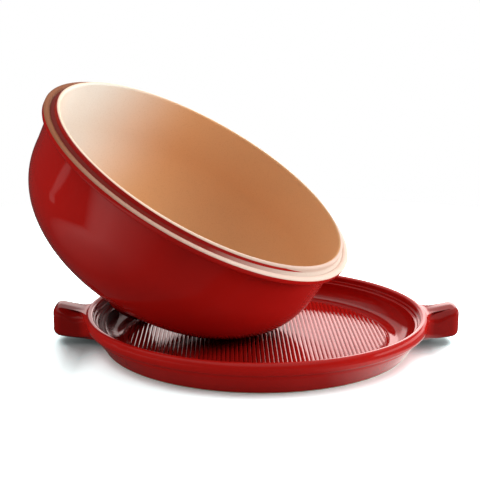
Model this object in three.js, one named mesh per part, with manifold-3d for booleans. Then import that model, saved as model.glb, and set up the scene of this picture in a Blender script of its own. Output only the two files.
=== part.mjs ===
// A round bread baker: a shallow ribbed tray with two lug handles, and a deep dome with a knob.
// The dome lies upside down in the tray, leaning on its knob and its shoulder, with its mouth
// turned up and to the right. Millimetres, +Z up, origin at the centre of the tray's underside,
// handles along X, ribs along Y.

import * as THREE from 'three';
import { mergeVertices } from 'three/addons/utils/BufferGeometryUtils.js';
import Module from 'manifold-3d';

// Tray, from its rim crest outwards and down
const CREST_RADIUS = 137;          // ring that carries the dome when the baker is closed
const TRAY_HEIGHT = 27.2;          // underside to rim crest
const RIM_OVERHANG = 3.2;          // crest to the widest ring of the rim
const RIM_BAND_HEIGHT = 10;        // crest down to the crease under the rim
const CREASE_DEPTH = 5.4;          // how far the crease lies inside the rim's widest ring
const CREASE_STEP = 1.2;           // height of the step at the crease
const WALL_DRAFT = 10;             // crease to foot, measured inwards
const FOOT_CHAMFER = 1.2;

// Tray, from its rim crest inwards and down
const RIM_INNER_WIDTH = 3.6;       // crest to the riser above the ledge
const LEDGE_DEPTH = 6.8;           // crest down to the ledge
const LEDGE_WIDTH = 4.1;
const COVE_WIDTH = 15.3;           // ledge to the flat floor
const FLOOR_RING_WIDTH = 3;        // flat ring round the ribs
const FLOOR_THICKNESS = 6.5;       // underside to the flat floor

// Ribs that lift the loaf off the floor
const RIB_PITCH = 3.4;
const RIB_HEIGHT = 1.5;
const RIB_ROOT = 0.3;              // how far the ribs' roots lie under the floor
const RIB_END_TAPER = 3;           // length over which a rib runs out

// Handles
const HANDLE_REACH = 24.8;         // beyond the rim's widest ring
const HANDLE_WIDTH = 32;
const HANDLE_RISE = 4.2;           // tip above the rim crest
const HANDLE_THICKNESS = 22.8;     // at the tip
const HANDLE_ROOT_DROP = 2.2;      // top of the root below the rim crest
const HANDLE_ROOT_HEIGHT = 4.4;    // bottom of the root above the underside
const HANDLE_CORNER = 4.8;         // rounding of the tip, seen from the side
const HANDLE_EDGE = 4;             // rounding of the long edges

// Dome, measured from the face of its flange towards its crown
const FLANGE_OVERHANG = 1;         // flange edge beyond the tray's crest
const FLANGE_THICKNESS = 5.6;
const FLANGE_EDGE = 2.4;           // radial depth of the flange's round edge
const LIP_SIDE_GAP = 3.4;          // lip to the riser in the tray
const LIP_END_GAP = 0.7;           // lip to the ledge in the tray
const LIP_THICKNESS = 3.8;
const WALL_FLARE = 2;              // wall under the flange beyond the shoulder
const WALL_HEIGHT = 32;            // flange face to the start of the crown
const CROWN_HEIGHT = 82;
const CROWN_FULLNESS = 2.25;       // 2 is an ellipse, more is a squarer shoulder
const CROWN_THICKNESS = 6;

// Knob on the crown
const KNOB_HEIGHT = 24;
const KNOB_RADIUS = 22;
const KNOB_FOOT_RADIUS = 20;
const KNOB_NECK_RADIUS = 15.5;
const KNOB_EDGE = 4.5;             // half the thickness of the knob's round edge

// Where the dome lies
const LEAN_HEADING = THREE.MathUtils.degToRad(-23.6);   // the mouth turns this way from +X
const KNOB_INSET = 14.5;           // where the knob touches the ribs, inside the floor's edge
const LEAN_OFFSET = -7.4;          // the line of the lean beside the tray's centre

const SEAT_GAP = 0.3;              // left between pieces that touch

// Where round edges run into the walls beside them, in quarter turns from level
const RIM_UNDERSIDE = -0.8;
const KNOB_UNDERSIDE = -0.67;

// Fineness of the round forms
const ROUND_SIDES = 60;
const CROWN_STEPS = 11;
const CURVE_STEPS = 6;
const EDGE_STEPS = 4;
const BEVEL_STEPS = 3;
const RIB_STEPS = 4;
const LEAN_HALVINGS = 40;
const MERGE_DISTANCE = 1e-4;

const rimRadius = CREST_RADIUS + RIM_OVERHANG;
const creaseRadius = rimRadius - CREASE_DEPTH;
const creaseHeight = TRAY_HEIGHT - RIM_BAND_HEIGHT;
const footRadius = creaseRadius - WALL_DRAFT;
const ledgeOuterRadius = CREST_RADIUS - RIM_INNER_WIDTH;
const ledgeInnerRadius = ledgeOuterRadius - LEDGE_WIDTH;
const ledgeHeight = TRAY_HEIGHT - LEDGE_DEPTH;
const floorRadius = ledgeInnerRadius - COVE_WIDTH;
const ribDiscRadius = floorRadius - FLOOR_RING_WIDTH;
const ribTop = FLOOR_THICKNESS + RIB_HEIGHT;
const flangeRadius = CREST_RADIUS + FLANGE_OVERHANG;
const lipOuterRadius = ledgeOuterRadius - LIP_SIDE_GAP;
const lipHeight = LEDGE_DEPTH - LIP_END_GAP;
const shoulderRadius = lipOuterRadius;
const crownTop = WALL_HEIGHT + CROWN_HEIGHT;

const redGlaze = { color: 0x8c1512, roughness: 0.18, metalness: 0 };

const wasm = await Module();
wasm.setup();

// Points on an ellipse's arc, as [radius, height] pairs, angles in quarter turns
function arc(centreR, centreH, sizeR, sizeH, fromQuarter, toQuarter, steps) {
  const points = [];
  for (let i = 0; i <= steps; i += 1) {
    const angle = (fromQuarter + (toQuarter - fromQuarter) * i / steps) * Math.PI / 2;
    points.push([centreR + sizeR * Math.cos(angle), centreH + sizeH * Math.sin(angle)]);
  }
  return points;
}

// A solid turned about Z from a profile that starts and ends on the axis
function turned(profile, sides = ROUND_SIDES) {
  const points = profile.map(([radius, height]) => new THREE.Vector2(Math.max(radius, 0), height));
  return new THREE.LatheGeometry(points, sides).rotateX(Math.PI / 2);
}

function solidOf(geometry) {
  const bare = geometry.clone();
  bare.deleteAttribute('normal');
  bare.deleteAttribute('uv');
  const merged = mergeVertices(bare, MERGE_DISTANCE);
  const vertProperties = new Float32Array(merged.attributes.position.array);
  const triVerts = new Uint32Array(merged.index.array);
  return new wasm.Manifold(new wasm.Mesh({ numProp: 3, vertProperties, triVerts }));
}

function geometryOf(solid) {
  const mesh = solid.getMesh();
  const geometry = new THREE.BufferGeometry();
  geometry.setAttribute('position', new THREE.BufferAttribute(mesh.vertProperties, mesh.numProp));
  geometry.setIndex(new THREE.BufferAttribute(mesh.triVerts, 1));
  geometry.computeVertexNormals();
  return geometry;
}

function piece(name, geometry, look) {
  const mesh = new THREE.Mesh(geometry, new THREE.MeshStandardMaterial(look));
  mesh.name = name;
  return mesh;
}

// Outside of the tray from the foot up to the crest, moved outwards by a gap
function trayOutside(gap) {
  const bandHalf = RIM_BAND_HEIGHT / 2;
  return [
    [footRadius - FOOT_CHAMFER + gap, 0],
    [footRadius + gap, FOOT_CHAMFER],
    [creaseRadius + gap, creaseHeight - CREASE_STEP],
    ...arc(CREST_RADIUS + gap, TRAY_HEIGHT - bandHalf, RIM_OVERHANG, bandHalf, RIM_UNDERSIDE, 1, CURVE_STEPS),
  ];
}

function trayInside() {
  const crestDrop = RIM_INNER_WIDTH / 2;
  return [
    ...arc(CREST_RADIUS, TRAY_HEIGHT - crestDrop, RIM_INNER_WIDTH, crestDrop, 1, 2, BEVEL_STEPS).slice(1),
    [ledgeOuterRadius, ledgeHeight],
    ...arc(floorRadius, ledgeHeight, COVE_WIDTH, ledgeHeight - FLOOR_THICKNESS, 0, -1, CURVE_STEPS),
    [0, FLOOR_THICKNESS],
  ];
}

// Ribs as one wavy plate, trimmed to a disc whose edge tapers so that each rib runs out
function ribbedDisc() {
  const ribCount = 2 * Math.floor(ribDiscRadius / RIB_PITCH) + 1;
  const half = ribCount * RIB_PITCH / 2;
  const bottom = FLOOR_THICKNESS / 2;
  const waveMiddle = FLOOR_THICKNESS + (RIB_HEIGHT - RIB_ROOT) / 2;
  const waveSize = (RIB_HEIGHT + RIB_ROOT) / 2;
  const outline = new THREE.Shape();
  outline.moveTo(-half, bottom);
  outline.lineTo(half, bottom);
  for (let i = ribCount * RIB_STEPS; i >= 0; i -= 1) {
    const phase = 2 * Math.PI * i / RIB_STEPS;
    outline.lineTo(-half + i * RIB_PITCH / RIB_STEPS, waveMiddle - waveSize * Math.cos(phase));
  }
  outline.closePath();
  const length = 2 * ribDiscRadius + 2 * RIB_PITCH;
  const plate = new THREE.ExtrudeGeometry(outline, { depth: length, bevelEnabled: false });
  plate.rotateX(Math.PI / 2).translate(0, length / 2, 0);
  const disc = turned([
    [0, bottom + RIB_ROOT],
    [ribDiscRadius, bottom + RIB_ROOT],
    [ribDiscRadius, FLOOR_THICKNESS - RIB_ROOT],
    [ribDiscRadius - RIB_END_TAPER, ribTop + RIB_ROOT],
    [0, ribTop + RIB_ROOT],
  ]);
  return solidOf(plate).intersect(solidOf(disc));
}

function baseTray() {
  const body = turned([[0, 0], ...trayOutside(0), ...trayInside()]);
  return piece('base_tray', geometryOf(solidOf(body).add(ribbedDisc())), redGlaze);
}

// One lug handle on +X, cut to the tray's wall
function handleGeometry() {
  const tipX = rimRadius + HANDLE_REACH;
  const rootX = footRadius;
  const tipTop = TRAY_HEIGHT + HANDLE_RISE;
  const tipBottom = tipTop - HANDLE_THICKNESS;
  const rootTop = TRAY_HEIGHT - HANDLE_ROOT_DROP;
  const topSlope = Math.atan2(tipTop - rootTop, tipX - rimRadius);
  const underSlope = Math.atan2(tipBottom - HANDLE_ROOT_HEIGHT, tipX - creaseRadius);
  const cornerX = tipX - HANDLE_CORNER;
  const topCorner = tipTop - HANDLE_CORNER * (Math.tan(topSlope) + 1 / Math.cos(topSlope));
  const underCorner = tipBottom - HANDLE_CORNER * (Math.tan(underSlope) - 1 / Math.cos(underSlope));
  const outline = new THREE.Shape();
  outline.moveTo(rootX, rootTop);
  outline.lineTo(rootX, HANDLE_ROOT_HEIGHT - (creaseRadius - rootX) * Math.tan(underSlope));
  outline.absarc(cornerX, underCorner, HANDLE_CORNER, underSlope - Math.PI / 2, 0);
  outline.absarc(cornerX, topCorner, HANDLE_CORNER, 0, Math.PI / 2 + topSlope);
  outline.lineTo(rimRadius, rootTop);
  const lug = new THREE.ExtrudeGeometry(outline, {
    depth: HANDLE_WIDTH - 2 * HANDLE_EDGE,
    bevelThickness: HANDLE_EDGE,
    bevelSize: HANDLE_EDGE,
    bevelOffset: -HANDLE_EDGE,
    bevelSegments: BEVEL_STEPS,
    curveSegments: EDGE_STEPS,
  });
  lug.rotateX(Math.PI / 2).translate(0, HANDLE_WIDTH / 2 - HANDLE_EDGE, 0);
  const tray = turned([[0, 0], ...trayOutside(SEAT_GAP), [0, TRAY_HEIGHT]]);
  return geometryOf(solidOf(lug).subtract(solidOf(tray)));
}

// Quarter of the crown's curve from the shoulder (0) to the crown's top (1), moved in by a wall
function crownPoint(share, inset) {
  const angle = share * Math.PI / 2;
  const radius = (shoulderRadius - inset) * Math.cos(angle) ** (2 / CROWN_FULLNESS);
  const height = WALL_HEIGHT + (CROWN_HEIGHT - inset) * Math.sin(angle) ** (2 / CROWN_FULLNESS);
  return [share < 1 ? radius : 0, height];
}

function crown(inset) {
  return Array.from({ length: CROWN_STEPS + 1 }, (_, i) => crownPoint(i / CROWN_STEPS, inset));
}

// Height of the crown's outside above the flange face, at a radius from the axis
function crownHeightAt(radius) {
  const share = 1 - (radius / shoulderRadius) ** CROWN_FULLNESS;
  return WALL_HEIGHT + CROWN_HEIGHT * share ** (1 / CROWN_FULLNESS);
}

function domeProfile() {
  const lipHalf = LIP_THICKNESS / 2;
  const flangeHalf = FLANGE_THICKNESS / 2;
  return [
    ...crown(CROWN_THICKNESS).reverse(),
    ...arc(lipOuterRadius - lipHalf, lipHalf - lipHeight, lipHalf, lipHalf, -2, 0, EDGE_STEPS),
    [lipOuterRadius, 0],
    ...arc(flangeRadius - FLANGE_EDGE, flangeHalf, FLANGE_EDGE, flangeHalf, -1, 1, EDGE_STEPS),
    [shoulderRadius + WALL_FLARE, FLANGE_THICKNESS],
    ...crown(0),
  ];
}

function knobProfile() {
  const foot = [0, KNOB_FOOT_RADIUS / 2, KNOB_FOOT_RADIUS];
  const top = crownTop + KNOB_HEIGHT;
  const footHeight = crownHeightAt(KNOB_FOOT_RADIUS) + SEAT_GAP;
  const neckHeight = (footHeight + top - 2 * KNOB_EDGE) / 2;
  return [
    ...foot.map((radius) => [radius, crownHeightAt(radius) + SEAT_GAP]),
    [KNOB_NECK_RADIUS + (KNOB_FOOT_RADIUS - KNOB_NECK_RADIUS) / 4, (footHeight + neckHeight) / 2],
    [KNOB_NECK_RADIUS, neckHeight],
    ...arc(KNOB_RADIUS - KNOB_EDGE, top - KNOB_EDGE, KNOB_EDGE, KNOB_EDGE, KNOB_UNDERSIDE, 1, EDGE_STEPS + 1),
    [0, top],
  ];
}

// How far down, and how far along the lean, a point of the upturned dome lies from its flange
function depthOf([radius, height], lean) {
  return radius * Math.sin(lean) + height * Math.cos(lean);
}

function alongOf([radius, height], lean) {
  return radius * Math.cos(lean) - height * Math.sin(lean);
}

// The point of a profile that lies lowest when the upturned dome leans by an angle
function lowestPoint(profile, lean) {
  return profile.reduce((low, point) => (depthOf(point, lean) > depthOf(low, lean) ? point : low));
}

// The lean at which knob and shoulder touch one level plane, found by halving the angle
function restingLean() {
  let upright = 0;
  let steep = Math.PI / 3;
  for (let i = 0; i < LEAN_HALVINGS; i += 1) {
    const lean = (upright + steep) / 2;
    const knob = lowestPoint(knobProfile(), lean);
    const lowest = lowestPoint([knob, ...crown(0)], lean);
    if (lowest === knob) {
      upright = lean;
    } else {
      steep = lean;
    }
  }
  return upright;
}

// The dome and its knob, turned over and set down on the ribs
function leaningDome() {
  const lean = restingLean();
  const shoulder = lowestPoint(crown(0), lean);
  const knob = lowestPoint(knobProfile(), lean);
  const dome = new THREE.Group();
  dome.rotation.y = Math.PI + lean;
  dome.position.x = KNOB_INSET - floorRadius - alongOf(knob, lean);
  dome.position.y = LEAN_OFFSET;
  dome.position.z = ribTop + SEAT_GAP + depthOf(shoulder, lean);
  dome.add(piece('dome_shell', turned(domeProfile()), redGlaze));
  dome.add(piece('dome_knob', turned(knobProfile(), ROUND_SIDES / 2), redGlaze));
  const heading = new THREE.Group();
  heading.rotation.z = LEAN_HEADING;
  heading.add(dome);
  return heading;
}

const baker = new THREE.Group();
baker.add(baseTray());
const lug = handleGeometry();
const rightHandle = piece('right_handle', lug, redGlaze);
const leftHandle = piece('left_handle', lug.clone(), redGlaze);
leftHandle.rotation.z = Math.PI;
baker.add(rightHandle, leftHandle, leaningDome());

export default baker;
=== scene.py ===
import math

import bpy
import numpy as np
from mathutils import Matrix, Vector

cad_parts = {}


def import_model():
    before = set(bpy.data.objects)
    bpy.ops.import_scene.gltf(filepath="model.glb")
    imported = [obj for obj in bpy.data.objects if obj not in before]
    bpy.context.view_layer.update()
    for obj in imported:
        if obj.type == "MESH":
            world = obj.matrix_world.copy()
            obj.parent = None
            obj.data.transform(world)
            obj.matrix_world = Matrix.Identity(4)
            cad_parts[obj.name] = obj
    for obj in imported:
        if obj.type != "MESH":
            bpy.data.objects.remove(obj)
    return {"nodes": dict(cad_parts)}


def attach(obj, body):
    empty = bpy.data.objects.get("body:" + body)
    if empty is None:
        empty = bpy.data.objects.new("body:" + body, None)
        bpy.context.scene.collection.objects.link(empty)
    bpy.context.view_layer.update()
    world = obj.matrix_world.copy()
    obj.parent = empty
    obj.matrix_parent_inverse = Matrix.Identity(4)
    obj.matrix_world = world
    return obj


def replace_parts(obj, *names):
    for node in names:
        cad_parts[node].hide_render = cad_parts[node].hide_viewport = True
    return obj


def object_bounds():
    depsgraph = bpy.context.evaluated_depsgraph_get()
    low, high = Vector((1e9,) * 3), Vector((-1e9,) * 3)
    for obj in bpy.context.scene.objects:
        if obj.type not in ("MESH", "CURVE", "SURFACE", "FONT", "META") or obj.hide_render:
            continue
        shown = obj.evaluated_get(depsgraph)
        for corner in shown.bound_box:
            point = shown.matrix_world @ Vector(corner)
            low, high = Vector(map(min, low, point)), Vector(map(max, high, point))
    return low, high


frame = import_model()
cad_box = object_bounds()

MM = 0.001
QUARTER = math.pi / 2

# Tray, millimetres, turned about Z
CREST_RADIUS = 137.0
TRAY_HEIGHT = 27.2
RIM_OVERHANG = 3.2
RIM_RADIUS = CREST_RADIUS + RIM_OVERHANG     # the rim's widest ring
RIM_HALF = 5.0                # half the height of the rim's round band
RIM_UNDERSIDE = -0.72         # where the band turns into the crease, in quarter turns
CREST_DROP = 1.8              # height of the crest's rounding on its inner side
CREASE_RADIUS = 134.8
CREASE_TOP = 16.0
CREASE_OUT = 0.4              # the crease's corner beyond its radius
CREASE_RISE = 0.8             # and above its top
CREASE_ROUND = 1.6
CREASE_IN = 0.6               # the crease's end inside its radius
CREASE_DROP = 2.0             # and below its top
FOOT_RADIUS = 124.8
FOOT_ROUND = 1.4
FOOT_TUCK = 0.6               # the foot's corner inside its radius
FOOT_WIDTH = 6.0              # ring of the underside next to the wall
DRY_FOOT = 1.3                # bare clay below this height
LEDGE_OUTER = 133.4
LEDGE_INNER = 129.3
LEDGE_HEIGHT = 20.4
LEDGE_ROUND = 0.9
STEP_HEIGHT = 22.6            # a narrow second ledge beside the first
STEP_INNER = 131.8
STEP_DRAFT = 0.4
STEP_FOOT_ROUND = 0.7
STEP_ROUND = 0.6
COVE_END = -0.06              # where the cove meets the ledge, in quarter turns
FLOOR_RADIUS = 114.0
FLOOR_HEIGHT = 6.5
WELL_DEPTH = 1.5              # how far the floor drops under the ribs
WELL_EDGE = 1.0               # the drop's upper edge inside the ribs' edge
WELL_SLOPE = 2.5              # width of the drop
WELL_ROUND = 0.8

# Ribs
RIB_PITCH = 3.4
RIB_TOP = 8.0
RIB_DEPTH = 0.75              # of the grooves between the ribs
RIB_FLATNESS = 6.0            # 2 is a round rib, more is a flatter one with narrower grooves
RIB_RADIUS = 111.0
RIB_RUN_OUT = 5.0             # length over which a rib dies into the floor
RIB_SINK = 0.5                # the plate's edge below the floor
RIB_SHORTEST = 1.0            # half the length of the outermost line
RIB_SAMPLES = 10
RIB_ROWS = 44

# Handles
HANDLE_HALF = 16.0
HANDLE_TAPER = 0.5            # half width lost from root to tip
HANDLE_TIP = 166.0
HANDLE_BULGE = 0.4            # the tip's middle beyond its corners
HANDLE_TIP_TOP = 32.4
HANDLE_ROOT_TOP = 26.2
HANDLE_TIP_BOTTOM = 7.8
HANDLE_ROOT_BOTTOM = 3.4      # where the underside runs into the wall
HANDLE_UNDER = 4.3            # underside below the rim's widest ring
HANDLE_FILLET = 7.0           # root fillet, seen from above
HANDLE_CORNER = 7.0           # tip corners, seen from above
HANDLE_CROWN = 1.0            # how far the top falls off towards its long edges
HANDLE_TOP_EDGE = 8.5         # rounding of the top's long edges
HANDLE_TIP_EDGE = 5.5         # rounding of the top's end
HANDLE_EDGE_RUN = 10.0        # length over which the one rounding turns into the other
HANDLE_UNDER_EDGE = 4.6       # rounding of the underside's edges
HANDLE_ROOT_RUN = 8.0         # reach over which the rim turns into the handle
HANDLE_SPREAD = 26.0          # half length of rim that takes part in the root

# Dome, measured from the face of its flange towards its crown
LIP_HEIGHT = 6.1
LIP_OUTER = 130.0
LIP_INNER = 126.2
LIP_FOOT = -2.4               # where the lip meets the flange's sloping face
FLANGE_OVERHANG = 1.0         # beyond the tray's crest
FLANGE_RADIUS = CREST_RADIUS + FLANGE_OVERHANG
FLANGE_THICKNESS = 4.6
FLANGE_EDGE = 2.0
FLANGE_FILLET = 1.5
BEAD_HALF = 2.8               # half the width of the bead along the flange's edge
BEAD_HEIGHT = 1.2
SHOULDER_RADIUS = 130.0
WALL_TOP_RADIUS = 132.0
WALL_HEIGHT = 32.0
CROWN_HEIGHT = 82.0
CROWN_FULLNESS = 2.25         # 2 is an ellipse, more is a squarer shoulder
CROWN_INNER_END = 0.985       # where the inside is closed by a point, in quarter turns
CROWN_OUTER_END = 0.9         # where the knob's neck begins, in quarter turns
WALL_THICKNESS = 6.0
KNOB_TOP = 138.0
KNOB_RADIUS = 22.0
KNOB_EDGE = 4.5
KNOB_UNDERSIDE = -0.8         # where the knob's edge turns into the neck, in quarter turns
NECK_RADIUS = 15.5
NECK_TAPER = 0.4
NECK_RISE = 1.2               # the neck's foot above the crown's end
NECK_DROP = 1.5               # the neck's top below the knob's edge
NECK_FOOT_ROUND = 5.0
NECK_TOP_ROUND = 2.0

# Steps of the meshes
TURN_STEPS = 6
BAND_STEPS = 13
CREASE_STEPS = 10
WALL_STEPS = 14
CREST_STEPS = 7
COVE_STEPS = 14
WELL_STEPS = 4
TOP_STEPS = 8
EDGE_STEPS = 6
SIDE_STEPS = 10
UNDER_STEPS = BAND_STEPS + CREASE_STEPS + WALL_STEPS - TOP_STEPS - 2 * EDGE_STEPS - SIDE_STEPS
CORNER_STEPS = 12
HANDLE_COLUMNS = 60
PLAIN_COLUMNS = 48
CROWN_STEPS = 44
LIP_STEPS = 14
LIP_INSIDE_ROWS = 5           # rows of the lip that have the inside's clay
GROOVE_STEPS = 4
BEAD_STEPS = 10
KNOB_STEPS = 14
NECK_STEPS = 8
DOME_SIDES = 240
GLAZE, INSIDE, LIP, GROOVE, BEAD = range(5)     # the dome's material numbers

# Ramps from here on hold a start, an end and the result at each, and stay level beyond both

# Glaze, distances in metres
GLAZE_RED = (0.42, 0.0085, 0.006, 1)
GLAZE_DEEP_RED = (0.38, 0.0072, 0.005, 1)
# Painted shade: the glaze is darker on the handles, where little light reaches their faces
GLAZE_SHADED_ON_HANDLES = (0.24, 0.005, 0.0036, 1)
# Darker in the ribs' grooves: pooled glaze, and painted shade
GLAZE_POOLED_AND_SHADED = (0.1, 0.001, 0.001, 1)
BLACK = (0, 0, 0, 1)
WHITE = (1, 1, 1, 1)
CLOUD_SCALE = 22.0
CLOUD_DETAIL = 3.0
CLOUD_SHARE = (0.35, 0.65, 0, 1)
CLOUD_ROUGHNESS = (0.3, 0.7, 0.04, 0.08)
HANDLE_ASIDE = (0.14, 0.145, 0, 1)      # from the middle to the side
HANDLE_BELOW = (0.04, 0.05, 1, 0)       # the handles lie below this height, the dome's sides above
GLAZE_IOR = 1.5
# Painted shade: the glaze turns black where a point is closed in within this reach
RECESS_REACH = 0.03
RECESS_SAMPLES = 8
RECESS_SHADE = (0.04, 0.2, 0.75, 0)     # by how open a point is
# Painted shadow of the dome: the tray's floor and cove turn black where the dome closes them in
COVER_REACH = 0.09
COVER_SAMPLES = 16
COVER_SHADE = (0.05, 0.2, 0.9, 0)       # by how open the tray is under the dome
COVER_BELOW = (0.018, 0.024, 1, 0)      # up to the top of the tray's cove
# Pooled glaze and painted shade in the ribs' grooves
GROOVE_REACH = 0.002
GROOVE_SAMPLES = 4
GROOVE_SHADE = (0.4, 1.0, 0.6, 0)
RIPPLE_SCALE = 160.0
RIPPLE_STRENGTH = 0.02
RIPPLE_DEPTH = 0.001

# Clay; spans in metres along the dome's mouth, towards its high side
TAN = (0.645, 0.342, 0.158, 1)
# The inside pales from tan to cream towards the dome's high side: partly painted light, where light from the
# right falls on the inner wall
CREAM_WITH_PAINTED_LIGHT = (0.66, 0.645, 0.58, 1)
PAINTED_LIGHT_SPAN = 0.06, 0.124, 1.9
LIP_LOW_CLAY = (0.58, 0.42, 0.34, 1)
LIP_HIGH_CLAY = (0.85, 0.66, 0.5, 1)
LIP_CLAY_SPAN = -0.11, -0.02
LIP_GLAZE = (0.36, 0.008, 0.006, 1)
LIP_ROUGHNESS = (0, 1, 0.6, 0.1)        # from clay to glaze
LIP_BARE_SPAN = -0.125, 0.03
LIP_BARE_LOW = 1.7                      # bare clay on the lip's outer side, in millimetres
LIP_BARE_HIGH = 0.4
LIP_LOWEST_SPAN = -0.127, -0.112
LIP_LOWEST_BARE = 3.0                   # what the lowest stretch has more
LIP_LINE_HALF = 0.2                     # half the width of the glaze's soft edge, in millimetres
# The flange's groove and bead darken towards the dome's high side: partly their own clay and glaze, partly
# painted shade from the lip
GROOVE_LOW_CLAY = (0.6, 0.48, 0.4, 1)
GROOVE_HIGH_CLAY_AND_SHADE = (0.25, 0.02, 0.012, 1)
GROOVE_SPAN = -0.12, -0.065
BEAD_LOW_CLAY = (0.69, 0.52, 0.43, 1)
BEAD_HIGH_CLAY_AND_SHADE = (0.29, 0.105, 0.045, 1)
BEAD_SPAN = -0.085, 0.07, 0.7
FOOT_LIGHT_CLAY = (0.66, 0.45, 0.32, 1)
FOOT_DARK_CLAY = (0.58, 0.37, 0.25, 1)
PATCH_SCALE = 30.0
SPECK_SCALE = 900.0
SPECK_DETAIL = 3.0
SPECK_TINT = (0.7, 0.62, 0.55, 1)
SPECK_SHARE = (0.5, 0.8, 0, 0.3)
SPECK_DEPTH = 0.0005
CLAY_SPECULAR = 0.2
FINE_CLAY = 0.7, 0.03                   # roughness and strength of the grain
COARSE_CLAY = 0.6, 0.1

# Floor, metres from the middle
FLOOR_HALF = 3.0
FLOOR_GAP = 0.0002                      # below the object's underside
# Painted shadow: the floor's colour close under the object, and where it is brought darker beside the
# handles
FLOOR_SHADE = (0.45, 0.51, 0.51, 1)     # as shown close under the object
FLOOR_SHOWN = (1.72, 2.0, 2.0, 1)       # as shown in the open
FLOOR_FADE = (0.35, 0.7, 0, 1)          # to plain white
SHADE_REACH = 0.09
SHADE_SAMPLES = 16
SHADE_SHARE = (0.25, 0.6, 0, 1)
SHADE_UNDER_TRAY = (0.12, 0.14, 0.2, -0.14)
SHADE_PAST_HANDLES = (0.15, 0.175, -0.14, 0.15)
BOUNCE_LEFT = (0.45, 0.45, 0.45, 1)
BOUNCE_RIGHT = (0.9, 0.9, 0.9, 1)
BOUNCE_FAR = (0.2, 0.2, 0.2, 1)
BOUNCE_NEAR_SHARE = (-0.15, 0.1, 0, 1)
BOUNCE_FAR_SHARE = (0.15, 0.45, 0, 1)
BOUNCE_DISTANCE = (0.155, 0.28, 0, 1)
MIRRORED_FLOOR = (1, 0.88, 0.85, 1)     # what gloss shows of the floor
MIRRORED_MIDDLE = (0.0, 0.12, 0.05, 0.18)
MIRRORED_CLOSE = (0.05, 0.11, 0, 0.85)
MIRRORED_CLOSE_END = (0.172, 0.186, 1, 0)
MIRRORED_CLOSE_RIGHT = (0.148, 0.156, 1, 0)
MIRRORED_PATCH_PLACE = (-0.55, -0.3, 0)
MIRRORED_PATCH = (0.1, 0.42, 0.65, 0)

# Surroundings, by direction; headings in degrees from +Y towards +X
STUDIO_TINT = (1.2, 0.93, 0.9)          # of what gloss mirrors
WALL_HEADING = 52.2
WALL_SIDES = (0.627, 0.663, 0, 1)
WALL_LEVEL = (0.305, 0.34, 1.35, 0.1)
BAND_LEVEL = (0.3, 0.34, 1.4, 0.5)      # a pale band behind the object
BAND_TOP = (0.8, 0.95, 1, 0)
BAND_LEFT = (-0.3, -0.2, 0, 1)
BAND_RIGHT = (0.25, 0.4, 1, 0)
BAND_FRONT = (0.3, 0.5, 0, 1)
CEILING = (0.5, 0.75, 0, 0.45)
STRIP_HEADING = -77
STRIP = (0.997, 0.999, 0.04, 0.4)
ROOM_BACK = (-1, 1, 0.32, 1.0)          # the even light on dull surfaces
ROOM_LEFT = (-1, 0, 0.5, 0)

# Lamps: place and aim in metres, width, height, watts
LAMPS = {
    "above": ((-0.45, -0.35, 1.1), (-0.03, 0, 0.08), 0.9, 0.9, 1.4),
    "right": ((1.3, -0.15, 0.38), (-0.05, 0, 0.1), 1.2, 0.6, 18.0),
    "behind": ((0.66, 1.0, 0.8), (0, 0, 0.05), 0.7, 0.6, 14.0),
    "left": ((-1.2, -0.5, 0.2), (0, 0, 0.08), 1.0, 0.5, 3.6),
}

# Camera: the photograph's view
CAMERA_PLACE = (-0.025474, -0.810611, 0.260820)
CAMERA_PITCH = math.radians(-12.2462)
CAMERA_YAW = math.radians(0.8181)
CAMERA_ROLL = math.radians(0.3889)
CAMERA_SENSOR = 36.0
CAMERA_LENS = 76.49
CAMERA_CLIP = 0.05, 50.0


def arc(centre, size, start, end, steps):
    """Points on an ellipse's arc, angles in quarter turns."""
    turns = np.linspace(start, end, steps + 1) * QUARTER
    return np.stack([centre[0] + size[0] * np.cos(turns), centre[1] + size[1] * np.sin(turns)], 1)


def line(start, end, steps):
    share = np.linspace(0, 1, steps + 1)[:, None]
    return np.array(start) * (1 - share) + np.array(end) * share


def rounded(corners, turn_steps=TURN_STEPS):
    """A polyline through (x, y, radius) corners, each rounded by its radius."""
    points = [np.array(corners[0][:2], float)]
    for before, corner, after in zip(corners, corners[1:], corners[2:]):
        here = np.array(corner[:2], float)
        back = np.array(before[:2], float) - here
        on = np.array(after[:2], float) - here
        back /= np.linalg.norm(back)
        on /= np.linalg.norm(on)
        half_turn = math.acos(np.clip(back @ on, -1, 1)) / 2
        middle = (back + on) / np.linalg.norm(back + on)
        centre = here + middle * corner[2] / math.sin(half_turn)
        first = here + back * corner[2] / math.tan(half_turn) - centre
        last = here + on * corner[2] / math.tan(half_turn) - centre
        sweep = math.pi - 2 * half_turn
        for share in np.linspace(0, 1, turn_steps + 1):
            weight = math.sin((1 - share) * sweep), math.sin(share * sweep)
            points.append(centre + (first * weight[0] + last * weight[1]) / math.sin(sweep))
    points.append(np.array(corners[-1][:2], float))
    return np.array(points)


def resampled(points, count):
    """count + 1 points at even spacing along a polyline."""
    lengths = np.linalg.norm(np.diff(points, axis=0), axis=1)
    along = np.concatenate([[0], np.cumsum(lengths)])
    wanted = np.linspace(0, along[-1], count + 1)
    return np.stack([np.interp(wanted, along, points[:, k]) for k in range(points.shape[1])], 1)


def smooth(share):
    share = np.clip(share, 0, 1)
    return share * share * (3 - 2 * share)


def grid_quad(c, d, r, rows):
    """Vertex numbers of the quad between columns c and d, from row r to the next."""
    return c * rows + r, d * rows + r, d * rows + r + 1, c * rows + r + 1


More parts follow.
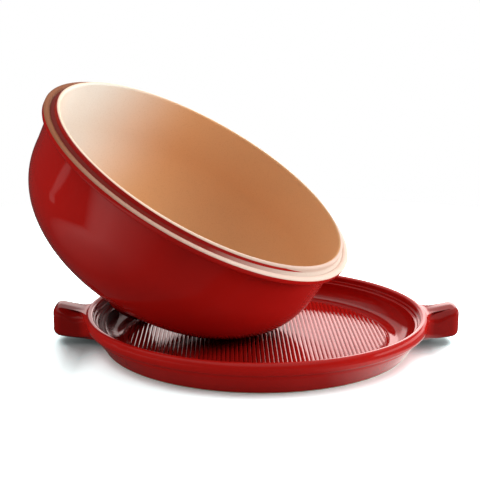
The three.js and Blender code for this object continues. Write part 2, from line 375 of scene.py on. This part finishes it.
def capped_ring(grid, first, last):
    """Vertices and faces of a closed skin: a grid (columns, rows, 3) closed into a ring, and two poles."""
    columns, rows = grid.shape[:2]
    points = [*grid.reshape(-1, 3), np.array(first, float), np.array(last, float)]
    pairs = [(c, (c + 1) % columns) for c in range(columns)]
    faces = [grid_quad(c, d, r, rows) for c, d in pairs for r in range(rows - 1)]
    poles = columns * rows, columns * rows + 1
    for c, d in pairs:
        faces.append((poles[0], d * rows, c * rows))
        faces.append((poles[1], c * rows + rows - 1, d * rows + rows - 1))
    return points, faces


def mesh_object(name, points, faces):
    mesh = bpy.data.meshes.new(name)
    mesh.from_pydata([Vector(p) * MM for p in points], [], faces)
    mesh.validate()
    mesh.shade_smooth()
    obj = bpy.data.objects.new(name, mesh)
    bpy.context.scene.collection.objects.link(obj)
    return obj


def plain_columns(profile, azimuths):
    """Rows of (radius, height) swung to each azimuth."""
    radius, height = profile[:, 0], profile[:, 1]
    grid = np.empty((len(azimuths), len(profile), 3))
    grid[:, :, 0] = np.cos(azimuths)[:, None] * radius
    grid[:, :, 1] = np.sin(azimuths)[:, None] * radius
    grid[:, :, 2] = height
    return grid


# The tray's rows, as (radius, height)

def rim_band(start, end, steps):
    """The rim's round band between two angles, in quarter turns."""
    return arc((CREST_RADIUS, TRAY_HEIGHT - RIM_HALF), (RIM_OVERHANG, RIM_HALF), start, end, steps)


def root_top_turn():
    """Where the handles' top line meets the rim's band, in quarter turns."""
    return math.asin((HANDLE_ROOT_TOP - TRAY_HEIGHT + RIM_HALF) / RIM_HALF) / QUARTER


def wall_point(height):
    share = (height - FOOT_ROUND) / (CREASE_TOP - FOOT_ROUND)
    return np.array([FOOT_RADIUS + share * (CREASE_RADIUS - FOOT_RADIUS), height])


def rim_outer_rows():
    """Plain rim and wall from the handles' top line down to their bottom line."""
    band = rim_band(root_top_turn(), RIM_UNDERSIDE, BAND_STEPS)
    crease = rounded([
        band[-1],
        (CREASE_RADIUS + CREASE_OUT, CREASE_TOP + CREASE_RISE, CREASE_ROUND),
        (CREASE_RADIUS - CREASE_IN, CREASE_TOP - CREASE_DROP),
    ])
    wall = line(crease[-1], wall_point(HANDLE_ROOT_BOTTOM), WALL_STEPS)
    return np.concatenate([band, resampled(crease, CREASE_STEPS)[1:], wall[1:]])


def crest_rows():
    """The outer side of the crest, down to the handles' top line."""
    return rim_band(1, root_top_turn(), CREST_STEPS)[:-1]


def foot_rows():
    """From the handles' bottom line round the foot to the underside."""
    return rounded([
        wall_point(HANDLE_ROOT_BOTTOM),
        (FOOT_RADIUS - FOOT_TUCK, 0, FOOT_ROUND),
        (FOOT_RADIUS - FOOT_WIDTH, 0),
    ])[1:]


def inner_rows():
    """From the well under the ribs up the cove and the ledges to the crest."""
    floor_edge = rounded([
        (RIB_RADIUS - WELL_EDGE - WELL_SLOPE, FLOOR_HEIGHT - WELL_DEPTH),
        (RIB_RADIUS - WELL_EDGE, FLOOR_HEIGHT, WELL_ROUND),
        (FLOOR_RADIUS, FLOOR_HEIGHT),
    ], WELL_STEPS)
    cove = arc((FLOOR_RADIUS, LEDGE_HEIGHT), (LEDGE_INNER - FLOOR_RADIUS, LEDGE_HEIGHT - FLOOR_HEIGHT),
               -1, COVE_END, COVE_STEPS)
    ledges = rounded([
        cove[-1],
        (LEDGE_INNER, LEDGE_HEIGHT, LEDGE_ROUND),
        (STEP_INNER - STEP_DRAFT, LEDGE_HEIGHT, STEP_FOOT_ROUND),
        (STEP_INNER, STEP_HEIGHT, STEP_ROUND),
        (LEDGE_OUTER, STEP_HEIGHT, STEP_ROUND),
        (LEDGE_OUTER, TRAY_HEIGHT - CREST_DROP),
    ])
    crest = arc((CREST_RADIUS, TRAY_HEIGHT - CREST_DROP), (CREST_RADIUS - LEDGE_OUTER, CREST_DROP),
                2, 1, CREST_STEPS)
    return np.concatenate([floor_edge, cove[1:], ledges[1:], crest[1:-1]])


# The handles

def rim_point(y):
    """The point of the rim's widest ring beside a handle's middle line."""
    return math.sqrt(RIM_RADIUS * RIM_RADIUS - y * y), y


def handle_outline():
    """Half of a handle seen from above, from the middle of its tip back to the rim."""
    corners = [
        (HANDLE_TIP, 0),
        (HANDLE_TIP - HANDLE_BULGE, HANDLE_HALF - HANDLE_TAPER, HANDLE_CORNER),
        (*rim_point(HANDLE_HALF), HANDLE_FILLET),
        rim_point(HANDLE_SPREAD),
    ]
    return resampled(rounded(corners, CORNER_STEPS), HANDLE_COLUMNS)


def handle_height(x, root, tip):
    return root + (tip - root) * (x - RIM_RADIUS) / (HANDLE_TIP - RIM_RADIUS)


def outward(outline):
    """Unit normals of a plan outline, pointing away from the handle."""
    along = np.gradient(outline, axis=0)
    along /= np.linalg.norm(along, axis=1)[:, None]
    return np.stack([along[:, 1], -along[:, 0]], 1)


def handle_edge(here, normal, size, root, tip, sign, crown=0.0):
    """Points of a rounded edge, from the flat of the handle's top or underside to its side."""
    points = []
    for turn in np.linspace(0, QUARTER, EDGE_STEPS + 1):
        x, y = here - normal * size * (1 - math.sin(turn))
        flat = handle_height(x, root, tip) - crown * (y / HANDLE_HALF) ** 2
        points.append((x, y, flat + sign * size * (1 - math.cos(turn))))
    return np.array(points)


def handle_columns(plain):
    """The plain rim rows of the handle's columns, drawn out into the handle."""
    outline = handle_outline()
    normal = outward(outline)
    reach = np.linalg.norm(outline, axis=1) - RIM_RADIUS
    share = smooth(reach / HANDLE_ROOT_RUN)
    to_tip = smooth(1 - (HANDLE_TIP - HANDLE_CORNER - outline[:, 0]) / HANDLE_EDGE_RUN)
    top_edge = (HANDLE_TOP_EDGE + (HANDLE_TIP_EDGE - HANDLE_TOP_EDGE) * to_tip) * share
    under_edge = HANDLE_UNDER_EDGE * share
    shaped = np.empty_like(plain)
    for c, here in enumerate(outline):
        top = handle_edge(here, normal[c], top_edge[c], HANDLE_ROOT_TOP, HANDLE_TIP_TOP, -1, HANDLE_CROWN)
        under = handle_edge(here, normal[c], under_edge[c], HANDLE_UNDER, HANDLE_TIP_BOTTOM, 1)[::-1]
        shaped[c] = np.concatenate([
            line(plain[c, 0], top[0], TOP_STEPS),
            top[1:],
            line(top[-1], under[0], SIDE_STEPS)[1:],
            under[1:],
            line(under[-1], plain[c, -1], UNDER_STEPS)[1:],
        ])
    weight = share[:, None, None]
    return plain * (1 - weight) + shaped * weight


# The whole tray

def tray_grid():
    """All columns of the tray's skin, from the underside round the outside to the floor."""
    handle_share = np.linspace(0, 1, HANDLE_COLUMNS + 1)
    handle_azimuth = np.arcsin(handle_share * HANDLE_SPREAD / RIM_RADIUS)
    plain_azimuth = np.linspace(handle_azimuth[-1], QUARTER, PLAIN_COLUMNS + 1)[1:]
    azimuths = np.concatenate([handle_azimuth, plain_azimuth])
    outer = plain_columns(rim_outer_rows(), azimuths)
    count = HANDLE_COLUMNS + 1
    outer[:count] = handle_columns(outer[:count])
    quarter = np.concatenate([
        plain_columns(foot_rows()[::-1], azimuths),
        outer[:, ::-1],
        plain_columns(crest_rows()[::-1], azimuths),
        plain_columns(inner_rows()[::-1], azimuths),
    ], 1)
    half = np.concatenate([quarter, (quarter * (-1, 1, 1))[-2::-1]])
    return np.concatenate([half, (half * (1, -1, 1))[-2:0:-1]])


def rib_grid():
    """The ribbed disc's upper side: columns across the ribs, rows along them."""
    ribs = 2 * int(RIB_RADIUS / RIB_PITCH) + 1
    x = np.linspace(-1, 1, ribs * RIB_SAMPLES + 1)[:, None] * RIB_RADIUS
    half_length = np.sqrt(np.maximum(RIB_RADIUS ** 2 - x ** 2, RIB_SHORTEST ** 2))
    y = half_length * np.sin(np.linspace(-1, 1, RIB_ROWS + 1) * QUARTER)
    across = 2 * np.abs(x / RIB_PITCH - np.round(x / RIB_PITCH))
    rib = RIB_TOP - RIB_DEPTH * across ** RIB_FLATNESS
    run_out = smooth((RIB_RADIUS - np.hypot(x, y)) / RIB_RUN_OUT)
    sunk = FLOOR_HEIGHT - RIB_SINK
    z = sunk + (rib - sunk) * run_out
    return np.stack([np.broadcast_to(x, z.shape), y, z], -1)


def grid_border(columns, rows):
    """Vertex numbers round the border of an open grid."""
    last = columns - 1
    border = [c * rows for c in range(columns)]
    border += [last * rows + r for r in range(1, rows)]
    border += [c * rows + rows - 1 for c in range(last - 1, -1, -1)]
    return border + list(range(rows - 2, 0, -1))


def rib_plate():
    """A wavy disc, its ribs along Y, closed underneath inside the tray's floor."""
    grid = rib_grid()
    columns, rows = grid.shape[:2]
    top = grid.reshape(-1, 3)
    bottom = top.copy()
    bottom[:, 2] = FLOOR_HEIGHT / 2
    below = len(top)
    faces = []
    for c in range(columns - 1):
        for r in range(rows - 1):
            quad = grid_quad(c, c + 1, r, rows)
            faces.append(quad)
            faces.append(tuple(below + v for v in reversed(quad)))
    border = grid_border(columns, rows)
    for a, b in zip(border, border[1:] + border[:1]):
        faces.append((b, a, below + a, below + b))
    return mesh_object("rib_plate", np.concatenate([top, bottom]), faces)


def joined(obj, other):
    """obj with other joined on as one closed skin."""
    tool = obj.modifiers.new("join", "BOOLEAN")
    tool.operation = "UNION"
    tool.solver = "MANIFOLD"
    tool.object = other
    graph = bpy.context.evaluated_depsgraph_get()
    mesh = bpy.data.meshes.new_from_object(obj.evaluated_get(graph))
    obj.modifiers.clear()
    obj.data = mesh
    bpy.data.objects.remove(other)
    mesh.shade_smooth()
    return obj


def tray(glaze, foot_clay):
    points, faces = capped_ring(tray_grid(), (0, 0, 0), (0, 0, FLOOR_HEIGHT - WELL_DEPTH))
    obj = joined(mesh_object("tray", points, faces), rib_plate())
    obj.data.materials.clear()
    obj.data.materials.append(glaze)
    obj.data.materials.append(foot_clay)
    for face in obj.data.polygons:
        face.material_index = 1 if face.center.z < DRY_FOOT * MM else 0
    return obj


# The dome

def crown_curve(inset, start, end):
    turns = np.linspace(start, end, CROWN_STEPS + 1) * QUARTER
    power = 2 / CROWN_FULLNESS
    radius = (SHOULDER_RADIUS - inset) * np.cos(turns) ** power
    height = WALL_HEIGHT + (CROWN_HEIGHT - inset) * np.sin(turns) ** power
    return np.stack([radius, height], 1)


def mouth_sections():
    """Material number and (radius, height) rows, from the inside of the crown to the flange's outer edge."""
    inside = crown_curve(WALL_THICKNESS, CROWN_INNER_END, 0)
    lip_half = (LIP_OUTER - LIP_INNER) / 2
    lip = arc((LIP_OUTER - lip_half, lip_half - LIP_HEIGHT), (lip_half, lip_half), -2, 0, LIP_STEPS)
    bead = arc((FLANGE_RADIUS - BEAD_HALF, 0), (BEAD_HALF, BEAD_HEIGHT), -2, 0, BEAD_STEPS)
    groove = line((LIP_OUTER, LIP_FOOT), bead[0], GROOVE_STEPS)
    return [
        (INSIDE, inside),
        (INSIDE, lip[:LIP_INSIDE_ROWS]),
        (LIP, lip[LIP_INSIDE_ROWS:]),
        (GROOVE, groove),
        (BEAD, bead[1:-1]),
        (GLAZE, bead[-1:]),
    ]


def outside_sections():
    """Material number and (radius, height) rows, from the flange's outer edge to the knob's top."""
    edge = arc((FLANGE_RADIUS - FLANGE_EDGE, FLANGE_THICKNESS - FLANGE_EDGE), (FLANGE_EDGE, FLANGE_EDGE),
               0, 1, TURN_STEPS)
    wall = rounded([
        edge[-1],
        (WALL_TOP_RADIUS, FLANGE_THICKNESS, FLANGE_FILLET),
        (SHOULDER_RADIUS, WALL_HEIGHT),
    ])
    crown = crown_curve(0, 0, CROWN_OUTER_END)
    knob = arc((KNOB_RADIUS - KNOB_EDGE, KNOB_TOP - KNOB_EDGE), (KNOB_EDGE, KNOB_EDGE),
               KNOB_UNDERSIDE, 1, KNOB_STEPS)
    neck = rounded([
        crown[-1],
        (NECK_RADIUS, crown[-1][1] + NECK_RISE, NECK_FOOT_ROUND),
        (NECK_RADIUS - NECK_TAPER, knob[0][1] - NECK_DROP, NECK_TOP_ROUND),
        knob[0],
    ], NECK_STEPS)
    return [(GLAZE, edge)] + [(GLAZE, rows[1:]) for rows in (wall, crown, neck, knob)]


def node_points(name):
    return np.array([v.co for v in frame["nodes"][name].data.vertices])


def dome_frame():
    """Where the dome lies: its own Z is its axis, from the flange's face towards the crown."""
    shell, knob = node_points("dome_shell"), node_points("dome_knob")
    axis = Vector(knob.mean(0) - shell.mean(0)).normalized()
    middle = Vector(shell.mean(0))
    lip_end = min((Vector(p) - middle).dot(axis) for p in shell)
    origin = middle + axis * (lip_end + LIP_HEIGHT * MM)
    across = axis.cross(Vector((0, 0, 1))).normalized()
    turn = Matrix((across, axis.cross(across), axis)).transposed()
    return Matrix.Translation(origin) @ turn.to_4x4()


def dome(materials):
    sections = mouth_sections() + outside_sections()
    profile = np.concatenate([rows for _, rows in sections])
    strips = np.repeat([number for number, _ in sections], [len(rows) for _, rows in sections])[:-1]
    azimuths = np.linspace(0, 2 * math.pi, DOME_SIDES, endpoint=False)
    inner_pole = (0, 0, WALL_HEIGHT + CROWN_HEIGHT - WALL_THICKNESS)
    points, faces = capped_ring(plain_columns(profile, azimuths), inner_pole, (0, 0, KNOB_TOP))
    obj = mesh_object("dome", points, faces)
    for material in materials:
        obj.data.materials.append(material)
    caps = [INSIDE, GLAZE] * DOME_SIDES
    obj.data.polygons.foreach_set("material_index", [*np.tile(strips, DOME_SIDES), *caps])
    obj.data.transform(dome_frame())
    return obj


# Materials

class Nodes:
    """Short hand for building a node tree."""

    def __init__(self, tree):
        self.tree = tree
        tree.nodes.clear()

    def add(self, kind, inputs=(), **settings):
        node = self.tree.nodes.new(kind)
        for name, value in settings.items():
            setattr(node, name, value)
        for name, value in dict(inputs).items():
            self.put(node.inputs[name], value)
        return node

    def put(self, socket, value):
        if isinstance(value, bpy.types.NodeSocket):
            self.tree.links.new(value, socket)
        else:
            socket.default_value = value

    def combined(self, operation, first, *others):
        """The first value, with each of the others brought in by one operation."""
        for value in others:
            first = self.add("ShaderNodeMath", {0: first, 1: value}, operation=operation).outputs[0]
        return first

    def absolute(self, value):
        return self.add("ShaderNodeMath", {0: value}, operation="ABSOLUTE").outputs[0]

    def mapped(self, value, start, end, at_start=0, at_end=1):
        node = self.add("ShaderNodeMapRange", {
            "Value": value, "From Min": start, "From Max": end, "To Min": at_start, "To Max": at_end})
        return node.outputs["Result"]

    def mixed(self, share, first, second):
        return self.add("ShaderNodeMix", {0: share, 6: first, 7: second}, data_type="RGBA").outputs[2]

    def place(self):
        """The point on the piece, in its own coordinates."""
        return self.add("ShaderNodeTexCoord").outputs["Object"]

    def parts(self, vector):
        return self.add("ShaderNodeSeparateXYZ", {0: vector}).outputs

    def along(self, vector, direction):
        """How far a vector reaches in a direction."""
        node = self.add("ShaderNodeVectorMath", {0: vector, 1: direction}, operation="DOT_PRODUCT")
        return node.outputs["Value"]

    def noise(self, scale, detail=2.0):
        node = self.add("ShaderNodeTexNoise", {"Vector": self.place(), "Scale": scale, "Detail": detail})
        return node.outputs["Fac"]

    def openness(self, reach, samples):
        """How much of its surroundings a point sees past what lies within reach, from 0 to 1."""
        return self.add("ShaderNodeAmbientOcclusion", {"Distance": reach}, samples=samples).outputs["AO"]


def new_material(name):
    material = bpy.data.materials.new(name)
    material.use_nodes = True
    return material, Nodes(material.node_tree)


def red_glaze():
    """Glossy red with painted shade: darker on the handles, under the dome and in recesses, and darker in
    the ribs' grooves, where pooled glaze and painted shade meet.
    """
    material, nodes = new_material("red_glaze")
    cloud = nodes.noise(CLOUD_SCALE, CLOUD_DETAIL)
    colour = nodes.mixed(nodes.mapped(cloud, *CLOUD_SHARE), GLAZE_RED, GLAZE_DEEP_RED)
    part = nodes.parts(nodes.place())
    # Painted shade on the handles: their glaze turns darker below the dome's sides
    aside = nodes.mapped(nodes.absolute(part["X"]), *HANDLE_ASIDE)
    handle_shade = nodes.combined("MULTIPLY", aside, nodes.mapped(part["Z"], *HANDLE_BELOW))
    colour = nodes.mixed(handle_shade, colour, GLAZE_SHADED_ON_HANDLES)
    # Painted shade in recesses
    recess = nodes.mapped(nodes.openness(RECESS_REACH, RECESS_SAMPLES), *RECESS_SHADE)
    colour = nodes.mixed(recess, colour, BLACK)
    # Painted shadow of the dome on the tray's floor and cove
    covered = nodes.mapped(nodes.openness(COVER_REACH, COVER_SAMPLES), *COVER_SHADE)
    painted_cover = nodes.combined("MULTIPLY", covered, nodes.mapped(part["Z"], *COVER_BELOW))
    colour = nodes.mixed(painted_cover, colour, BLACK)
    # Pooled glaze and painted shade in the ribs' grooves
    groove_pool_and_shade = nodes.mapped(nodes.openness(GROOVE_REACH, GROOVE_SAMPLES), *GROOVE_SHADE)
    colour = nodes.mixed(groove_pool_and_shade, colour, GLAZE_POOLED_AND_SHADED)
    bump = nodes.add("ShaderNodeBump", {
        "Strength": RIPPLE_STRENGTH, "Distance": RIPPLE_DEPTH, "Height": nodes.noise(RIPPLE_SCALE)})
    shader = nodes.add("ShaderNodeBsdfPrincipled", {
        "Base Color": colour,
        "Roughness": nodes.mapped(cloud, *CLOUD_ROUGHNESS),
        "IOR": GLAZE_IOR,
        "Normal": bump.outputs["Normal"],
    })
    nodes.add("ShaderNodeOutputMaterial", {"Surface": shader.outputs["BSDF"]})
    return material


def clay(name, first, second, share_of, roughness, grain):
    """Bare clay with a fine grain, whose colour turns from the first to the second across the piece."""
    material, nodes = new_material(name)
    speck = nodes.noise(SPECK_SCALE, SPECK_DETAIL)
    base = nodes.mixed(share_of(nodes), first, second)
    share = nodes.mapped(speck, *SPECK_SHARE)
    speckled = nodes.add("ShaderNodeMixRGB", {0: share, 1: base, 2: SPECK_TINT}, blend_type="MULTIPLY")
    bump = nodes.add("ShaderNodeBump", {"Strength": grain, "Distance": SPECK_DEPTH, "Height": speck})
    shader = nodes.add("ShaderNodeBsdfPrincipled", {
        "Base Color": speckled.outputs[0],
        "Roughness": roughness,
        "Specular IOR Level": CLAY_SPECULAR,
        "Normal": bump.outputs["Normal"],
    })
    nodes.add("ShaderNodeOutputMaterial", {"Surface": shader.outputs["BSDF"]})
    return material


def across_dome(start, end, power=1.0):
    """A share that grows along the dome's mouth towards its high side, from start to end."""
    place = dome_frame()
    high = -place.col[1].to_3d()
    middle = place.translation.dot(high)

    def share(nodes):
        even = nodes.mapped(nodes.along(nodes.place(), high), middle + start, middle + end)
        return nodes.combined("POWER", even, power)

    return share


def patchy(nodes):
    return nodes.mapped(nodes.noise(PATCH_SCALE, CLOUD_DETAIL), *CLOUD_SHARE)


def glazed_lip():
    """Bare clay along the lip's top, and red glaze below a line that sinks towards the dome's low side."""
    material, nodes = new_material("lip_clay")
    axis = dome_frame().col[2].to_3d()
    top = dome_frame().translation.dot(axis) - LIP_HEIGHT * MM
    even = nodes.mapped(across_dome(*LIP_BARE_SPAN)(nodes), 0, 1,
                        top + LIP_BARE_LOW * MM, top + LIP_BARE_HIGH * MM)
    lowest = nodes.mapped(across_dome(*LIP_LOWEST_SPAN)(nodes), 0, 1, LIP_LOWEST_BARE * MM, 0)
    bare = nodes.combined("ADD", even, lowest)
    below = nodes.combined("SUBTRACT", nodes.along(nodes.place(), axis), bare)
    glazed = nodes.mapped(below, -LIP_LINE_HALF * MM, LIP_LINE_HALF * MM)
    bare_colour = nodes.mixed(across_dome(*LIP_CLAY_SPAN)(nodes), LIP_LOW_CLAY, LIP_HIGH_CLAY)
    shader = nodes.add("ShaderNodeBsdfPrincipled", {
        "Base Color": nodes.mixed(glazed, bare_colour, LIP_GLAZE),
        "Roughness": nodes.mapped(glazed, *LIP_ROUGHNESS),
    })
    nodes.add("ShaderNodeOutputMaterial", {"Surface": shader.outputs["BSDF"]})
    return material


# Stage

def floor_shown(nodes, x):
    """The floor's colour to the camera, a painted shadow: greyer where the object closes it in, most of all
    beside the handles; the lamps' shadows fall on it too.
    """
    aside = nodes.absolute(x)
    shift = nodes.combined("MAXIMUM", nodes.mapped(aside, *SHADE_UNDER_TRAY),
                           nodes.mapped(aside, *SHADE_PAST_HANDLES))
    openness = nodes.combined("ADD", nodes.openness(SHADE_REACH, SHADE_SAMPLES), shift)
    return nodes.mixed(nodes.mapped(openness, *SHADE_SHARE), FLOOR_SHADE, FLOOR_SHOWN)


def floor_bounce(nodes, x, away):
    """The floor's colour as it lights the object: paler to the right."""
    near = nodes.mixed(nodes.mapped(x, *BOUNCE_NEAR_SHARE), BOUNCE_LEFT, BOUNCE_RIGHT)
    far = nodes.mixed(nodes.mapped(x, *BOUNCE_FAR_SHARE), BOUNCE_FAR, BOUNCE_RIGHT)
    return nodes.mixed(nodes.mapped(away, *BOUNCE_DISTANCE), near, far)


def floor_in_gloss(nodes, place, x, away):
    """How brightly the floor glows to gloss, a painted reflection: dark, but pale beside the tray's right
    and in a left patch.
    """
    close = nodes.combined("MULTIPLY", nodes.mapped(x, *MIRRORED_CLOSE),
                           nodes.mapped(away, *MIRRORED_CLOSE_END), nodes.mapped(x, *MIRRORED_CLOSE_RIGHT))
    patch = nodes.add("ShaderNodeVectorMath", {0: place, 1: MIRRORED_PATCH_PLACE}, operation="DISTANCE")
    left = nodes.mapped(patch.outputs["Value"], *MIRRORED_PATCH)
    return nodes.combined("ADD", nodes.mapped(x, *MIRRORED_MIDDLE), close, left)


def floor_material():
    """Pale and dull, with its own look for the camera, for gloss and for the light it throws back."""
    material, nodes = new_material("floor")
    rays = nodes.add("ShaderNodeLightPath").outputs
    place = nodes.add("ShaderNodeNewGeometry").outputs["Position"]
    away = nodes.add("ShaderNodeVectorMath", {0: place}, operation="LENGTH").outputs["Value"]
    x = nodes.parts(place)["X"]
    colour = nodes.mixed(rays["Is Camera Ray"], floor_bounce(nodes, x, away), floor_shown(nodes, x))
    near = nodes.add("ShaderNodeBsdfDiffuse", {"Color": colour})
    white = nodes.add("ShaderNodeEmission", {"Color": WHITE})
    far = nodes.combined("MULTIPLY", nodes.mapped(away, *FLOOR_FADE), rays["Is Camera Ray"])
    lit = nodes.add("ShaderNodeMixShader", {0: far, 1: near.outputs[0], 2: white.outputs[0]})
    strength = floor_in_gloss(nodes, place, x, away)
    # The floor glows only to gloss: a painted reflection
    gloss = nodes.add("ShaderNodeEmission", {"Color": MIRRORED_FLOOR, "Strength": strength})
    surface = nodes.add("ShaderNodeMixShader", {
        0: rays["Is Glossy Ray"], 1: lit.outputs[0], 2: gloss.outputs[0]})
    nodes.add("ShaderNodeOutputMaterial", {"Surface": surface.outputs[0]})
    return material


def floor():
    mesh = bpy.data.meshes.new("floor")
    mesh.from_pydata([(-1, -1, 0), (1, -1, 0), (1, 1, 0), (-1, 1, 0)], [], [(0, 1, 2, 3)])
    mesh.materials.append(floor_material())
    obj = bpy.data.objects.new("floor", mesh)
    obj.location = (0, 0, cad_box[0].z - FLOOR_GAP)
    obj.scale = (FLOOR_HALF, FLOOR_HALF, 1)
    bpy.context.scene.collection.objects.link(obj)


def level_way(heading):
    """A level direction, from its heading in degrees."""
    return math.sin(math.radians(heading)), math.cos(math.radians(heading)), 0


def studio_light(nodes, direction):
    """What gloss mirrors: a wall at the right, a pale band behind, a ceiling and a strip at the left."""
    part = nodes.parts(direction)
    sides = nodes.mapped(nodes.along(direction, level_way(WALL_HEADING)), *WALL_SIDES)
    wall = nodes.combined("MULTIPLY", sides, nodes.mapped(part["Z"], *WALL_LEVEL))
    band = nodes.combined("MULTIPLY", nodes.mapped(part["Z"], *BAND_LEVEL),
                          nodes.mapped(part["X"], *BAND_LEFT), nodes.mapped(part["Z"], *BAND_TOP),
                          nodes.mapped(part["X"], *BAND_RIGHT), nodes.mapped(part["Y"], *BAND_FRONT))
    ceiling = nodes.mapped(part["Z"], *CEILING)
    strip = nodes.mapped(nodes.along(direction, level_way(STRIP_HEADING)), *STRIP)
    level = nodes.combined("ADD", wall, band, ceiling, strip)
    return nodes.add("ShaderNodeVectorMath", {0: level, 1: STUDIO_TINT}, operation="MULTIPLY").outputs[0]


def room_light(nodes, direction):
    """The even light on dull surfaces, a little stronger from behind and from the left."""
    part = nodes.parts(direction)
    return nodes.combined("ADD", nodes.mapped(part["Y"], *ROOM_BACK), nodes.mapped(part["X"], *ROOM_LEFT))


def world():
    """White for the camera, a room for dull surfaces and a studio for glossy ones."""
    scene_world = bpy.data.worlds.new("studio")
    bpy.context.scene.world = scene_world
    scene_world.use_nodes = True
    nodes = Nodes(scene_world.node_tree)
    rays = nodes.add("ShaderNodeLightPath").outputs
    direction = nodes.add("ShaderNodeTexCoord").outputs["Generated"]
    light = nodes.mixed(rays["Is Glossy Ray"], room_light(nodes, direction), studio_light(nodes, direction))
    colour = nodes.mixed(rays["Is Camera Ray"], light, WHITE)
    background = nodes.add("ShaderNodeBackground", {"Color": colour, "Strength": 1.0})
    nodes.add("ShaderNodeOutputWorld", {"Surface": background.outputs[0]})


def softbox(name, place, target, width, height, power):
    """A lamp that lights the object, but shows neither to the camera nor in gloss."""
    light = bpy.data.lights.new(name, "AREA")
    light.shape = "RECTANGLE"
    light.size = width
    light.size_y = height
    light.energy = power
    obj = bpy.data.objects.new(name, light)
    obj.location = place
    obj.rotation_euler = (Vector(target) - Vector(place)).to_track_quat("-Z", "Y").to_euler()
    obj.visible_camera = False
    obj.visible_glossy = False
    bpy.context.scene.collection.objects.link(obj)


def camera():
    data = bpy.data.cameras.new("camera")
    data.sensor_width = CAMERA_SENSOR
    data.lens = CAMERA_LENS
    data.clip_start, data.clip_end = CAMERA_CLIP
    obj = bpy.data.objects.new("camera", data)
    obj.location = CAMERA_PLACE
    level = Matrix.Rotation(-CAMERA_YAW, 3, "Z") @ Matrix.Rotation(QUARTER + CAMERA_PITCH, 3, "X")
    obj.rotation_euler = (level @ Matrix.Rotation(CAMERA_ROLL, 3, "Z")).to_euler()
    bpy.context.scene.collection.objects.link(obj)
    bpy.context.scene.camera = obj


def build():
    glaze = red_glaze()
    # Inside clay, paler towards the high side: partly painted light
    inside = clay("inside_clay", TAN, CREAM_WITH_PAINTED_LIGHT, across_dome(*PAINTED_LIGHT_SPAN), *FINE_CLAY)
    # Groove and bead darken towards the high side: partly painted shade from the lip
    groove = clay("groove_clay", GROOVE_LOW_CLAY, GROOVE_HIGH_CLAY_AND_SHADE, across_dome(*GROOVE_SPAN), *COARSE_CLAY)
    bead = clay("bead_clay", BEAD_LOW_CLAY, BEAD_HIGH_CLAY_AND_SHADE, across_dome(*BEAD_SPAN), *COARSE_CLAY)
    foot = clay("foot_clay", FOOT_LIGHT_CLAY, FOOT_DARK_CLAY, patchy, *COARSE_CLAY)
    base_piece = tray(glaze, foot)
    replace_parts(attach(base_piece, "base"), "base_tray", "left_handle", "right_handle")
    dome_piece = dome([glaze, inside, glazed_lip(), groove, bead])
    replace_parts(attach(dome_piece, "dome"), "dome_shell", "dome_knob")


build()
floor()
world()
for lamp, settings in LAMPS.items():
    softbox(lamp, *settings)
camera()

bpy.context.scene.view_settings.view_transform = "Standard"
